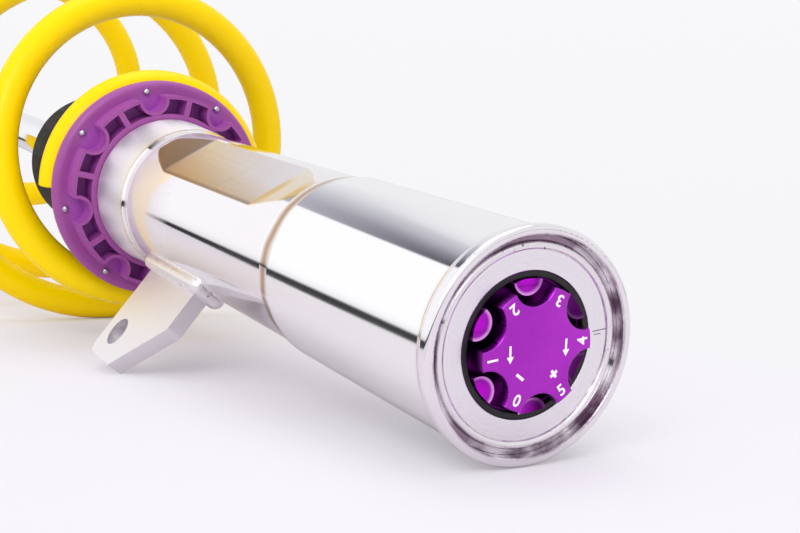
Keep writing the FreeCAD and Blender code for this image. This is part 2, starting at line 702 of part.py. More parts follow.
# Piston rod, hollow for the rebound adjuster
add("piston_rod", turned(
    (ROD_BORE_R, PISTON_LOW - SHIM_H - PISTON_NUT_H - 2.0),
    (ROD_FOOT_R, PISTON_LOW - SHIM_H - PISTON_NUT_H - 2.0, 0.6),
    (ROD_FOOT_R, PISTON_LOW + PISTON_H),
    (ROD_R, PISTON_LOW + PISTON_H),
    (ROD_R, ROD_SHOULDER),
    (ROD_TIP_R, ROD_SHOULDER),
    (ROD_TIP_R, ROD_END_LOW, 0.5),
    (ROD_END_R, ROD_END_LOW),
    (ROD_END_R, ROD_TOP, 0.8),
    (ROD_BORE_R, ROD_TOP)))
band_low = PISTON_LOW + (PISTON_H - BAND_H) / 2.0
band_in = CYLINDER_IN_R - RUN - BAND_T
piston = turned(
    (ROD_FOOT_R + SLIDE, PISTON_LOW),
    (CYLINDER_IN_R - 0.3, PISTON_LOW, 0.4),
    (CYLINDER_IN_R - 0.3, band_low),
    (band_in, band_low),
    (band_in, band_low + BAND_H),
    (CYLINDER_IN_R - 0.3, band_low + BAND_H),
    (CYLINDER_IN_R - 0.3, PISTON_LOW + PISTON_H, 0.4),
    (ROD_FOOT_R + SLIDE, PISTON_LOW + PISTON_H))
for a in spread(6, 0.0):
    piston = piston.cut(drill(PISTON_HOLE_R, PISTON_LOW - 1.0, PISTON_LOW + PISTON_H + 1.0, CYLINDER_IN_R * 0.66, a))
add("piston", piston)
add("piston_band", ring(band_in + SLIDE, CYLINDER_IN_R - RUN, band_low + SLIDE, band_low + BAND_H - SLIDE))
add("valve_shims", turned(
    (ROD_FOOT_R + SLIDE, PISTON_LOW - SHIM_H),
    (PISTON_NUT_AF / 2.0, PISTON_LOW - SHIM_H),
    (CYLINDER_IN_R - 3.0, PISTON_LOW - SHIM_T),
    (CYLINDER_IN_R - 3.0, PISTON_LOW),
    (ROD_FOOT_R + SLIDE, PISTON_LOW)))
nut_low = PISTON_LOW - SHIM_H - PISTON_NUT_H
add("piston_nut", hexagon(PISTON_NUT_AF, nut_low, nut_low + PISTON_NUT_H).cut(
    rod(ROD_FOOT_R + SLIDE, nut_low - 1.0, nut_low + PISTON_NUT_H + 1.0)))
stop_low = GUIDE_SPIGOT_LOW - FREE - BUFFER_H - STOP_H
add("rebound_stop", ring(ROD_R, CYLINDER_IN_R - STOP_GAP, stop_low, stop_low + STOP_H))
buffer_r = CYLINDER_IN_R - BUFFER_GAP
add("rebound_buffer", turned(
    (ROD_R, stop_low + STOP_H),
    (buffer_r, stop_low + STOP_H, 1.5),
    (buffer_r, stop_low + STOP_H + BUFFER_H, 2.0),
    (ROD_R, stop_low + STOP_H + BUFFER_H)))

# Bump stop round the rod, under the washer on the rod's shoulder
stop_step = BUMP_STOP_H / 4.0
add("bump_stop", turned(
    (ROD_R + PRESS, BUMP_STOP_LOW),
    (BUMP_STOP_R - 5.0, BUMP_STOP_LOW, 2.0),
    (BUMP_STOP_R - 2.0, BUMP_STOP_LOW + stop_step * 0.6, 3.0),
    (BUMP_STOP_R - 2.0 - BUMP_WAIST, BUMP_STOP_LOW + stop_step, 1.5),
    (BUMP_STOP_R - 1.0, BUMP_STOP_LOW + stop_step * 1.6, 3.0),
    (BUMP_STOP_R - 1.0, BUMP_STOP_LOW + stop_step * 2.2, 3.0),
    (BUMP_STOP_R - BUMP_WAIST, BUMP_STOP_LOW + stop_step * 2.7, 1.5),
    (BUMP_STOP_R, BUMP_STOP_LOW + stop_step * 3.2, 3.0),
    (BUMP_STOP_R, ROD_SHOULDER),
    (ROD_R + PRESS, ROD_SHOULDER)))

# Washer on the rod's shoulder, and the lock nut that holds it
add("top_washer", turned(
    (ROD_TIP_R + SLIDE, ROD_SHOULDER),
    (TOP_WASHER_R, ROD_SHOULDER, 0.5),
    (TOP_WASHER_R, NUT_LOW, 1.0),
    (ROD_TIP_R + SLIDE, NUT_LOW)))
nut_blank = turned(
    (ROD_TIP_R + SLIDE, NUT_LOW),
    (TOP_NUT_AF / math.sqrt(3.0), NUT_LOW),
    (TOP_NUT_AF / math.sqrt(3.0), NUT_TOP - 1.5),
    (TOP_NUT_AF / 2.0 - 0.5, NUT_TOP),
    (ROD_TIP_R + SLIDE, NUT_TOP))
add("top_nut", nut_blank.common(hexagon(TOP_NUT_AF, NUT_LOW - 1.0, NUT_TOP + 1.0)))

# Rebound adjuster: a grip on the rod's tip, no wider than the thread, and its rod
grip_low = ROD_TOP + FREE
grip = turned(
    (0.0, grip_low),
    (GRIP_R, grip_low, 0.5),
    (GRIP_R, grip_low + GRIP_H, 0.8),
    (0.0, grip_low + GRIP_H))
for a in spread(GRIP_FLUTES, 0.0):
    grip = grip.cut(drill(GRIP_FLUTE_R, grip_low + 1.5, grip_low + GRIP_H + 1.0, GRIP_R + 0.2, a))
add("rebound_grip", grip)
add("rebound_rod", rod(REBOUND_ROD_R, PISTON_LOW, grip_low))

# Laid on its side: the strut axis leans up from the table, away from the rim
lean = math.radians(LEAN)
turn_down = FreeCAD.Rotation(
    V(math.sin(lean), 0, math.cos(lean)), V(0, 1, 0), V(-math.cos(lean), 0, math.sin(lean)), "ZXY")
PLACE = FreeCAD.Placement(V(0, 0, 0), turn_down)
for name in PARTS:
    PARTS[name].Placement = PLACE.multiply(PARTS[name].Placement)

box = FreeCAD.BoundBox()
for name in PARTS:
    box.add(PARTS[name].optimalBoundingBox(False, False))
shift = V(-(box.XMin + box.XMax) / 2.0, -(box.YMin + box.YMax) / 2.0, -box.ZMin)
for name in PARTS:
    PARTS[name].translate(shift)
print("box %.2f x %.2f x %.2f mm, shift %.4f %.4f %.4f" % (
    box.XLength, box.YLength, box.ZLength, shift.x, shift.y, shift.z))

os.makedirs("parts", exist_ok=True)
for name in ("knuckle_sleeve", "sway_bar_bracket", "main_spring"):
    print("%s stands %.2f mm over the table" % (name, PARTS[name].optimalBoundingBox(False, False).ZMin))
for name in PARTS:
    shape = PARTS[name]
    if not shape.isValid():
        print("not valid:", name)
    shape.exportStep("parts/" + name + ".step")
    print("%-20s %9.0f mm3 %d" % (name, shape.Volume, len(shape.Solids)))
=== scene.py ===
import json
import math

import bmesh
import bpy
from mathutils import Matrix, Vector


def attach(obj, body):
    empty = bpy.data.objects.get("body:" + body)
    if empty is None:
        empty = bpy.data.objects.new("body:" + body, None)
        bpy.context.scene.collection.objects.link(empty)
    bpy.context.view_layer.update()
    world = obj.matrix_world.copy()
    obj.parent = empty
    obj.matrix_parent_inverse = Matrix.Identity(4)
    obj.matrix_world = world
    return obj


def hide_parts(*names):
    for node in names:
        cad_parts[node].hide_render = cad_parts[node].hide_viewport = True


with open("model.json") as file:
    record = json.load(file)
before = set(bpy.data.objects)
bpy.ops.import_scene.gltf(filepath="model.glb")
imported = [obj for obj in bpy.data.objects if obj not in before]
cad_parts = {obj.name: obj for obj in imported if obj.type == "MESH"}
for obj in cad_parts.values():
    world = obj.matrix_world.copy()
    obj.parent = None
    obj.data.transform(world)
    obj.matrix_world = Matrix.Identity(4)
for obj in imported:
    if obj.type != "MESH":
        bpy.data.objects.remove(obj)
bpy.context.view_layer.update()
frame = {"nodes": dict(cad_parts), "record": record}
nodes = frame["nodes"]
record = frame["record"]

# The strut's own frame: height along its axis from the open rim, in millimetres
joints = {j["name"]: j for j in record["behaviour"]["joints"]}
RIM = Vector(joints["bump_knob_turn"]["pos_m"])
AXIS = Vector(joints["rod_slide"]["axis"]).normalized()
SIDE = Vector((0, 1, 0))
TOP = SIDE.cross(AXIS).normalized()


def at(x, y, z):
    """a place in the part's frame, in metres, from strut millimetres"""
    return RIM + (TOP * x + SIDE * y + AXIS * z) / 1000.0


def at_polar(r, angle, z):
    t = math.radians(angle)
    return at(r * math.cos(t), r * math.sin(t), z)


def outward(angle):
    """the direction away from the axis at an angle from the top"""
    t = math.radians(angle)
    return (TOP * math.cos(t) + SIDE * math.sin(t)).normalized()


# Camera, from the photograph's perspective
cam_data = bpy.data.cameras.new("camera")
cam_data.sensor_width = 36.0
cam_data.lens = 58.826
camera = bpy.data.objects.new("camera", cam_data)
eye = RIM + Vector((0.244354, -0.174051, 0.040836))
camera.matrix_world = Matrix((
    (0.493921, -0.063696, 0.867170, eye.x),
    (0.869507, 0.036182, -0.492594, eye.y),
    (0.0, 0.997313, 0.073255, eye.z),
    (0, 0, 0, 1)))
bpy.context.scene.collection.objects.link(camera)
bpy.context.scene.camera = camera
bpy.context.scene.view_settings.view_transform = "Standard"

# Sizes on the part that the looks follow, in millimetres and degrees
TUBE_R = 26.4
TUBE_START = 98.0
SHOULDER = 219.5
COLLAR_START = 221.5
COLLAR_END = 260.0
FLAT_REACH = 24.1
FLAT_START = 118.0
FLAT_END = 193.0
FLAT_RAMP = 21.0
FLAT_ANGLE = 330.2
KNOB_ANGLE = 82.8
KNOB_STEP = 60.0
BOSS_R = 4.0
BOSS_CIRCLE = 16.4
TIP_PITCH = 1.5


# Shader nodes
def srgb(r, g, b):
    """a shader colour from screen values of 0 to 255"""
    out = []
    for v in (r, g, b):
        v = v / 255.0
        out.append(v / 12.92 if v <= 0.04045 else ((v + 0.055) / 1.055) ** 2.4)
    return (out[0], out[1], out[2], 1.0)


class Nodes:
    """adds nodes to one shader tree and links them"""

    def __init__(self, tree):
        self.tree = tree

    def put(self, socket, value):
        """links an output to the socket, or sets the socket's own value"""
        if hasattr(value, "is_output"):
            self.tree.links.new(value, socket)
        else:
            socket.default_value = value

    def node(self, kind, **inputs):
        n = self.tree.nodes.new(kind)
        for key, value in inputs.items():
            self.put(n.inputs[key.replace("_", " ")], value)
        return n

    def operation(self, kind, op, values):
        """a maths node with its first inputs filled in order"""
        n = self.tree.nodes.new(kind)
        n.operation = op
        for socket, value in zip(n.inputs, values):
            self.put(socket, value)
        return n

    def math(self, op, *values):
        return self.operation("ShaderNodeMath", op, values).outputs[0]

    def times(self, a, b):
        return self.math("MULTIPLY", a, b)

    def inverse(self, a):
        return self.math("SUBTRACT", 1.0, a)

    def length(self, a, b):
        """the length of a line that runs a one way and b square to it"""
        squares = self.math("ADD", self.math("POWER", a, 2.0), self.math("POWER", b, 2.0))
        return self.math("SQRT", squares)

    def dot(self, a, b):
        return self.operation("ShaderNodeVectorMath", "DOT_PRODUCT", (a, b)).outputs["Value"]

    def cross(self, a, b):
        return self.operation("ShaderNodeVectorMath", "CROSS_PRODUCT", (a, b)).outputs[0]

    def ramp(self, value, low, high, to_low=0.0, to_high=1.0):
        return self.node("ShaderNodeMapRange", Value=value, From_Min=low, From_Max=high,
                         To_Min=to_low, To_Max=to_high).outputs[0]

    def band(self, value, low, high, soft):
        """1 between low and high, with soft ends"""
        up = self.ramp(value, low - soft, low + soft)
        down = self.ramp(value, high - soft, high + soft)
        return self.times(up, self.inverse(down))

    def mix(self, fac, a, b):
        """the colour a, or b where fac is 1"""
        n = self.tree.nodes.new("ShaderNodeMix")
        n.data_type = "RGBA"
        self.put(n.inputs[0], fac)
        self.put(n.inputs[6], a)
        self.put(n.inputs[7], b)
        return n.outputs[2]

    def mix_shader(self, fac, a, b):
        """the shader a, or b where fac is 1"""
        n = self.tree.nodes.new("ShaderNodeMixShader")
        for socket, value in zip(n.inputs, (fac, a, b)):
            self.put(socket, value)
        return n.outputs[0]

    def gradient(self, value, low, high, first, last, stops=()):
        """colours along a value: the first at low, the last at high, and stops between them"""
        n = self.tree.nodes.new("ShaderNodeValToRGB")
        self.put(n.inputs[0], self.ramp(value, low, high))
        elements = n.color_ramp.elements
        elements[0].color = first
        elements[1].color = last
        for place, color in stops:
            elements.new((place - low) / (high - low)).color = color
        return n.outputs["Color"]


class Shader(Nodes):
    """a material, with what its nodes can measure on the strut"""

    def __init__(self, name, color, metallic, rough):
        self.mat = bpy.data.materials.new(name)
        self.mat.use_nodes = True
        super().__init__(self.mat.node_tree)
        self.bsdf = self.tree.nodes["Principled BSDF"]
        self.set("Base Color", color)
        self.set("Metallic", metallic)
        self.set("Roughness", rough)
        # Object coordinates are the part's frame, in metres
        self.place = self.tree.nodes.new("ShaderNodeTexCoord").outputs["Object"]

    def set(self, key, value):
        self.put(self.bsdf.inputs[key], value)

    def reach(self, direction):
        """millimetres from the rim's centre in a direction"""
        raw = self.dot(self.place, tuple(direction * 1000.0))
        return self.math("SUBTRACT", raw, RIM.dot(direction) * 1000.0)

    def along(self):
        """millimetres along the strut axis from the rim"""
        return self.reach(AXIS)

    def radius(self):
        """millimetres from the strut axis"""
        return self.length(self.reach(TOP), self.reach(SIDE))

    def noise(self, scale, detail):
        return self.node("ShaderNodeTexNoise", Vector=self.place, Scale=scale, Detail=detail).outputs[0]

    def lines(self, value, scale, detail):
        """noise that changes along one value only, such as turning marks"""
        n = self.node("ShaderNodeTexNoise", Scale=scale, Detail=detail)
        n.noise_dimensions = "1D"
        self.put(n.inputs["W"], value)
        return n.outputs[0]

    def span(self, noise, low, high):
        """a noise's usual values, spread from low to high"""
        return self.ramp(noise, 0.3, 0.7, low, high)

    def bump(self, height, strength, distance):
        self.set("Normal", self.node("ShaderNodeBump", Height=height, Strength=strength,
                                     Distance=distance).outputs[0])

    def brushed_round(self, amount):
        """polish marks run round the strut, so highlights smear along it"""
        normal = self.node("ShaderNodeNewGeometry").outputs["Normal"]
        first = self.cross(tuple(AXIS), normal)
        self.set("Tangent", self.cross(normal, first))
        self.set("Anisotropic", amount)


# Materials
def heat_marks(s, run, color):
    """brown tints where the sleeve and the collar are joined to the tube"""
    wobble = s.math("MULTIPLY_ADD", s.noise(70.0, 2.0), 6.0, run)
    heat = s.band(wobble, TUBE_START - 4.5, TUBE_START, 1.6)
    scorch = s.band(wobble, SHOULDER, COLLAR_START, 1.2)
    color = s.mix(s.times(heat, 0.9), color, srgb(172, 124, 76))
    return s.mix(s.times(scorch, 0.7), color, srgb(176, 150, 128))


def pocket_area(s, run):
    """1 on the pressed flat, its floor and its two ramps"""
    low = FLAT_START - FLAT_RAMP
    high = FLAT_END + FLAT_RAMP
    surface = s.math("MAXIMUM", s.ramp(run, FLAT_END, high, FLAT_REACH, TUBE_R),
                     s.ramp(run, FLAT_START, low, FLAT_REACH, TUBE_R))
    off = s.math("ABSOLUTE", s.math("SUBTRACT", s.reach(outward(FLAT_ANGLE)), surface))
    return s.times(s.ramp(off, 0.25, 0.12), s.band(run, low, high - 0.5, 0.5))


def pocket_color_and_light(s, run):
    """tan with faint streaks and a painted sheen that lightens it towards the top and the rim's end,
    painted shade on the ramp at the collar's end and along the near edge, and painted highlights, pale and
    gold, on the rim's side
    """
    across = s.reach(outward(FLAT_ANGLE).cross(AXIS))
    streaks = s.lines(s.math("MULTIPLY_ADD", run, 0.02, across), 0.5, 2.0)
    # Painted sheen over the real streaks: lighter across towards the top and along towards the rim's end
    streaks_and_sheen = s.math("MULTIPLY_ADD", streaks, 0.35, s.ramp(across, 9.0, -9.0))
    streaks_and_sheen = s.math("ADD", streaks_and_sheen, s.ramp(run, 200.0, 120.0, -0.2, 0.35))
    color = s.mix(s.ramp(streaks_and_sheen, 0.15, 1.0), srgb(234, 206, 168), srgb(255, 250, 252))
    # Painted shade on the ramp at the collar's end
    collar_end_shade = s.ramp(run, FLAT_END, FLAT_END + 2.0, 0.0, 0.85)
    color = s.mix(collar_end_shade, color, srgb(158, 124, 94))
    # Painted shadow along the near edge
    near_edge_shadow = s.ramp(across, 9.2, 10.6, 0.0, 0.7)
    color = s.mix(near_edge_shadow, color, srgb(140, 112, 96))
    # Painted highlights on the ramp at the rim's side: pale, with gold patches
    rim_side_highlight = s.ramp(run, FLAT_START + 0.5, FLAT_START - 0.5)
    color = s.mix(rim_side_highlight, color, srgb(250, 244, 236))
    gold_highlight = s.ramp(run, FLAT_START + 1.5, FLAT_START + 0.5)
    gold_highlight = s.times(gold_highlight, s.inverse(s.band(run, 103.5, 114.0, 1.5)))
    gold_highlight = s.times(gold_highlight, s.ramp(s.noise(50.0, 2.0), 0.3, 0.5, 0.2, 0.85))
    gold_highlight = s.times(gold_highlight, s.ramp(across, -6.0, 0.0))
    return s.mix(gold_highlight, color, srgb(240, 204, 122))


def bore_painted_reflection(s):
    """painted reflection inside the rim: plum and white streaks, with painted shade low down and near the
    top
    """
    height = s.reach(TOP)
    reflection_streaks = s.ramp(s.noise(110.0, 4.0), 0.33, 0.58)
    reflection_streaks = s.math("SUBTRACT", reflection_streaks, s.times(s.ramp(height, -6.0, -22.0), 0.3))
    reflection_streaks = s.math("SUBTRACT", reflection_streaks, s.times(s.ramp(height, 12.0, 24.0), 0.65))
    return s.mix(s.math("MAXIMUM", reflection_streaks, 0.0), srgb(150, 130, 148), srgb(255, 252, 255))


def polished_steel():
    """the tube and the sleeve: polished, with a satin collar and a greyer, less metallic band below it"""
    bright = srgb(252, 252, 253)
    s = Shader("tinted_steel", bright, 1.0, 0.1)
    s.brushed_round(0.6)
    s.bump(s.noise(9.0, 1.0), 0.05, 0.0006)
    run = s.along()
    pocket = pocket_area(s, run)
    rough = s.math("ADD", s.span(s.lines(run, 2.2, 4.0), 0.08, 0.10), s.span(s.noise(22.0, 3.0), 0.0, 0.02))
    rough = s.times(rough, s.ramp(run, 110.0, 185.0, 1.0, 0.5))
    collar = s.band(run, COLLAR_START, COLLAR_END, 1.0)
    rough = s.math("MAXIMUM", rough, s.times(collar, 0.42))
    s.set("Roughness", s.math("MULTIPLY_ADD", pocket, 0.2, rough))
    tube = s.band(run, TUBE_START, SHOULDER - 0.5, 1.0)
    color = s.mix(tube, bright, srgb(247, 244, 246))
    color = heat_marks(s, run, color)
    color = s.mix(pocket, color, pocket_color_and_light(s, run))
    # Greyer and less metallic from 174 mm up to the shoulder
    grey_dull_band = s.times(s.ramp(run, 174.0, 194.0), s.ramp(run, SHOULDER, SHOULDER - 2.0))
    grey_dull_band = s.times(grey_dull_band, s.inverse(pocket))
    color = s.mix(grey_dull_band, color, srgb(216, 208, 214))
    s.set("Metallic", s.math("MULTIPLY_ADD", grey_dull_band, -0.88, 1.0))
    lip = s.times(s.ramp(s.radius(), 26.8, 27.2), s.ramp(run, 7.5, 6.0))
    color = s.mix(lip, color, srgb(245, 242, 246))
    # Painted reflection on the bore wall inside the rim
    bore = s.times(s.band(s.radius(), 24.3, 26.9, 0.25), s.band(run, -1.0, 4.0, 0.3))
    s.set("Base Color", s.mix(bore, color, bore_painted_reflection(s)))
    return s.mat


def turned_steel():
    """the end cap, with fine rings from the lathe"""
    s = Shader("turned_steel", srgb(244, 243, 246), 1.0, 0.3)
    marks = s.lines(s.radius(), 2.5, 3.0)
    s.set("Roughness", s.span(marks, 0.26, 0.36))
    s.bump(marks, 0.04, 0.0001)
    return s.mat


def weld_steel():
    s = Shader("weld_steel", srgb(244, 241, 243), 1.0, 0.28)
    lumps = s.noise(260.0, 2.0)
    pits = s.ramp(s.noise(620.0, 2.0), 0.66, 0.74)
    s.set("Base Color", s.mix(pits, srgb(244, 241, 243), srgb(150, 136, 142)))
    s.set("Roughness", s.span(lumps, 0.22, 0.42))
    s.bump(lumps, 0.3, 0.0005)
    return s.mat


def hard_chrome():
    """the rod, with a thread drawn on its tip alone"""
    s = Shader("hard_chrome", srgb(238, 240, 244), 1.0, 0.05)
    s.set("Roughness", s.span(s.noise(40.0, 2.0), 0.03, 0.08))
    thread = s.math("SINE", s.times(s.along(), 2.0 * math.pi / TIP_PITCH))
    tip = s.times(s.ramp(s.along(), 612.5, 613.5), s.inverse(s.ramp(s.radius(), 7.2, 7.4)))
    s.bump(s.times(thread, tip), 1.0, 0.0004)
    return s.mat


def purple_composite():
    """the moulded perch, with painted light that brightens the inside of its pockets"""
    s = Shader("purple_composite", srgb(153, 70, 147), 0.0, 0.4)
    grain = s.noise(700.0, 4.0)
    skin = s.mix(s.span(s.noise(35.0, 3.0), 0.0, 1.0), srgb(148, 66, 142), srgb(158, 74, 152))
    # Painted light: the pockets are made brighter than the rest
    pocket_painted_light = s.times(s.ramp(s.along(), 248.0, 253.0), s.inverse(s.ramp(s.radius(), 36.0, 38.4)))
    s.set("Base Color", s.mix(pocket_painted_light, skin, srgb(168, 78, 176)))
    s.set("Roughness", s.span(grain, 0.34, 0.46))
    s.bump(grain, 0.06, 0.0001)
    return s.mat


def purple_anodised():
    """the knob: a bright turned face, with painted shade that darkens it down its sides and more deep in
    its pits
    """
    s = Shader("purple_anodised", srgb(178, 50, 200), 1.0, 0.3)
    turning = s.lines(s.radius(), 3.0, 3.0)
    face = s.mix(s.span(s.noise(60.0, 2.0), 0.0, 1.0), srgb(178, 54, 200), srgb(192, 64, 212))
    # Painted shade: darker down the sides and darker still deep in the pits
    face_and_side_shade = s.mix(s.ramp(s.along(), -1.8, 0.6), face, srgb(150, 18, 172))
    s.set("Base Color", s.mix(s.ramp(s.along(), 2.2, 5.4), face_and_side_shade, srgb(74, 8, 88)))
    s.set("Roughness", s.span(turning, 0.24, 0.36))
    s.bump(turning, 0.04, 0.0001)
    return s.mat


def glossy_cup():
    """the knob's cup: six dished bosses with painted highlights at their centres and rims and painted shade
    on one side, in a wall with painted shade deeper in
    """
    s = Shader("glossy_cup", srgb(150, 18, 172), 1.0, 0.16)
    half_step = math.radians(KNOB_STEP / 2.0)
    turn = s.math("ARCTAN2", s.reach(SIDE), s.reach(TOP))
    turn = s.math("SUBTRACT", turn, math.radians(KNOB_ANGLE) + half_step)
    turn = s.math("WRAP", turn, half_step, -half_step)
    radius = s.radius()
    from_boss = s.length(s.math("SUBTRACT", s.times(radius, s.math("COSINE", turn)), BOSS_CIRCLE),
                         s.times(radius, s.math("SINE", turn)))
    # Painted highlight: each boss brighter at its centre
    dish_light = s.mix(s.ramp(from_boss, 1.0, 3.6), srgb(204, 22, 222), srgb(156, 40, 176))
    # Painted pink highlight at each boss's rim
    rim = s.ramp(from_boss, BOSS_R - 0.9, BOSS_R - 0.3)
    dish_light = s.mix(rim, dish_light, srgb(238, 158, 244))
    # Painted shade on the bosses on one side of the cup
    cup_side_shade = s.ramp(s.reach(SIDE), -1.0, 4.0, 0.0, 0.88)
    dish_light = s.mix(cup_side_shade, dish_light, srgb(54, 6, 64))
    # Painted shade: the wall darker deeper in
    wall = s.mix(s.ramp(s.along(), 2.2, 5.4), srgb(150, 18, 172), srgb(84, 6, 92))
    s.set("Base Color", s.mix(s.ramp(from_boss, BOSS_R - 0.06, BOSS_R - 0.02), dish_light, wall))
    s.set("Roughness", s.math("MULTIPLY_ADD", rim, 0.12, s.span(s.noise(60.0, 2.0), 0.14, 0.2)))
    return s.mat


def yellow_coat():
    s = Shader("yellow_coat", srgb(255, 213, 0), 0.0, 0.26)
    skin = s.noise(260.0, 2.0)
    s.set("Base Color", s.mix(s.span(s.noise(14.0, 2.0), 0.0, 1.0), srgb(255, 214, 0), srgb(255, 221, 0)))
    s.set("Roughness", s.span(skin, 0.22, 0.30))
    s.bump(skin, 0.015, 0.0002)
    s.set("Specular IOR Level", 0.15)
    return s.mat


def grey_foam():
    s = Shader("grey_foam", srgb(196, 186, 160), 0.0, 0.8)
    cells = s.noise(900.0, 4.0)
    s.set("Base Color", s.mix(s.span(cells, 0.0, 1.0), srgb(176, 166, 140), srgb(208, 198, 172)))
    s.bump(cells, 0.35, 0.0004)
    return s.mat


def grained(name, color, metallic, grain, rough, bump=None):
    """one colour, with a grain of a scale and detail in its roughness and, where given, its bump"""
    s = Shader(name, color, metallic, sum(rough) / 2.0)
    height = s.noise(*grain)
    s.set("Roughness", s.span(height, *rough))
    if bump:
        s.bump(height, *bump)
    return s.mat


# Strength and depth in metres of the grain's bump
FAINT = (0.02, 0.0001)
LIGHT = (0.05, 0.0001)
FIRM = (0.08, 0.0002)
CAST = (0.1, 0.0002)
CAST_GRAIN = (300.0, 4.0)
looks = {
    "polished_steel": polished_steel(),
    "weld_steel": weld_steel(),
    "hard_chrome": hard_chrome(),
    "purple_composite": purple_composite(),
    "purple_anodised": purple_anodised(),
    "yellow_coat": yellow_coat(),
    "grey_foam": grey_foam(),
    "satin_steel": grained("satin_steel", srgb(238, 235, 239), 1.0, (300.0, 2.0), (0.33, 0.40), FAINT),
    "plain_steel": grained("plain_steel", srgb(196, 198, 202), 1.0, (180.0, 3.0), (0.18, 0.32), LIGHT),
    "black_coat": grained("black_coat", srgb(38, 37, 40), 0.0, (420.0, 3.0), (0.34, 0.52), LIGHT),
    "black_rubber": grained("black_rubber", srgb(20, 19, 21), 0.0, (500.0, 3.0), (0.42, 0.6), FIRM),
    "sintered_iron": grained("sintered_iron", srgb(120, 120, 122), 1.0, CAST_GRAIN, (0.4, 0.6), CAST),
    "bronze": grained("bronze", srgb(170, 130, 70), 1.0, CAST_GRAIN, (0.3, 0.5), CAST),
    "slip_polymer": grained("slip_polymer", srgb(40, 38, 42), 0.0, CAST_GRAIN, (0.35, 0.5), CAST),
    "bare_alloy": grained("bare_alloy", srgb(205, 205, 209), 1.0, CAST_GRAIN, (0.28, 0.42), CAST),
}
ink = grained("white_ink", srgb(252, 246, 252), 0.0, (800.0, 2.0), (0.4, 0.6))
groove = grained("scribed", srgb(120, 112, 122), 1.0, (800.0, 2.0), (0.3, 0.5))

# Two nodes differ from the others of their slot
own_looks = {"end_cap": turned_steel(), "adjuster_cup": glossy_cup()}
for part in record["subparts"]:
    obj = nodes[part["node"]]
    obj.data.materials.clear()
    obj.data.materials.append(own_looks.get(part["node"], looks[part["material_slot"]]))


# Mesh helpers
def add_object(name, mesh, mat):
    mesh.materials.clear()
    mesh.materials.append(mat)
    obj = bpy.data.objects.new(name, mesh)
    bpy.context.scene.collection.objects.link(obj)
    return obj


def piece(name, verts, faces, mat, body, replaced):
    """a smooth closed mesh in the place of a CAD node"""
    mesh = bpy.data.meshes.new(name)
    mesh.from_pydata([tuple(v) for v in verts], [], faces)
    mesh.update()
    bm = bmesh.new()
    bm.from_mesh(mesh)
    bmesh.ops.remove_doubles(bm, verts=bm.verts, dist=1e-7)
    bmesh.ops.recalc_face_normals(bm, faces=bm.faces)
    bm.to_mesh(mesh)
    bm.free()
    mesh.polygons.foreach_set("use_smooth", [True] * len(mesh.polygons))
    mesh.set_sharp_from_angle(angle=math.radians(32))
    obj = add_object(name, mesh, mat)
    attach(obj, body)
    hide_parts(replaced)


def grid_faces(rows, cols, wrap_rows=False):
    """quads between rows of points that each close on themselves"""
    faces = []
    last = rows if wrap_rows else rows - 1
    for i in range(last):
        for j in range(cols):
            a = i * cols + j
            b = i * cols + (j + 1) % cols
            c = ((i + 1) % rows) * cols + (j + 1) % cols
            d = ((i + 1) % rows) * cols + j
            faces.append((a, b, c, d))
    return faces


def ease(x):
    x = min(max(x, 0.0), 1.0)
    return x * x * (3.0 - 2.0 * x)


# Main spring: the part's own coil, with more sides and dressed cut ends
WIRE_R = 6.6
SPRING_LOW = 262.2 + WIRE_R
SPRING_START_ANGLE = 269.4
SPRING_DEAD = 200.0
SPRING_EASE = 170.0
SPRING_PITCH = 88.3
SPRING_GAIN = -5.9
SPRING_GAIN_FROM = 700.0
SPRING_END = 1440.0
SPRING_TAIL_R = 38.3
SPRING_FLARE = 36.7
SPRING_SEAT_OVER = 300.0
SPRING_FLARE_FROM = 254.0
SPRING_FLARE_OVER = 230.0
SPRING_BELLY_FROM = 414.0
SPRING_BELLY_OVER = 320.0
SPRING_NECK = 39.5
SPRING_NECK_FROM = 1090.0
SPRING_NECK_OVER = 410.0
SPRING_LEAN = 8.7
SPRING_BOW = 7.75
SPRING_BOW_ANGLE = 70.0
SPRING_BOW_H = 246.0
SPRING_SIDES = 36
SPRING_STEPS = 620

# Each cut end: degrees of turn from the end, and the share of the wire's radius there
CUT_END = ((0.0, 0.80), (0.35, 0.93), (0.9, 1.0))
CUT_OVER = 1.2


def spring_rise(turn):
    live = max(turn - SPRING_DEAD, 0.0)
    if live < SPRING_EASE:
        run = live * live / (2.0 * SPRING_EASE)
    else:
        run = live - SPRING_EASE / 2.0
    gain = max(turn - SPRING_GAIN_FROM, 0.0) / 360.0
    return SPRING_PITCH / 360.0 * run + SPRING_GAIN * gain * gain


def spring_radius(turn):
    opened = 0.15 * ease(turn / SPRING_SEAT_OVER)
    opened = opened + 0.75 * ease((turn - SPRING_FLARE_FROM) / SPRING_FLARE_OVER)
    opened = opened + 0.10 * ease((turn - SPRING_BELLY_FROM) / SPRING_BELLY_OVER)
    closed = ease((turn - SPRING_NECK_FROM) / SPRING_NECK_OVER)
    return SPRING_TAIL_R + SPRING_FLARE * opened - SPRING_NECK * closed


def spring_point(turn):
    rise = spring_rise(turn)
    r = spring_radius(turn)
    share = rise / SPRING_BOW_H
    bow = 4.0 * SPRING_BOW * share * (1.0 - share)
    t = math.radians(SPRING_START_ANGLE + turn)
    side = math.radians(SPRING_BOW_ANGLE)
    x = r * math.cos(t) + bow * math.cos(side) + SPRING_LEAN * share
    return Vector((x, r * math.sin(t) + bow * math.sin(side), SPRING_LOW + rise))


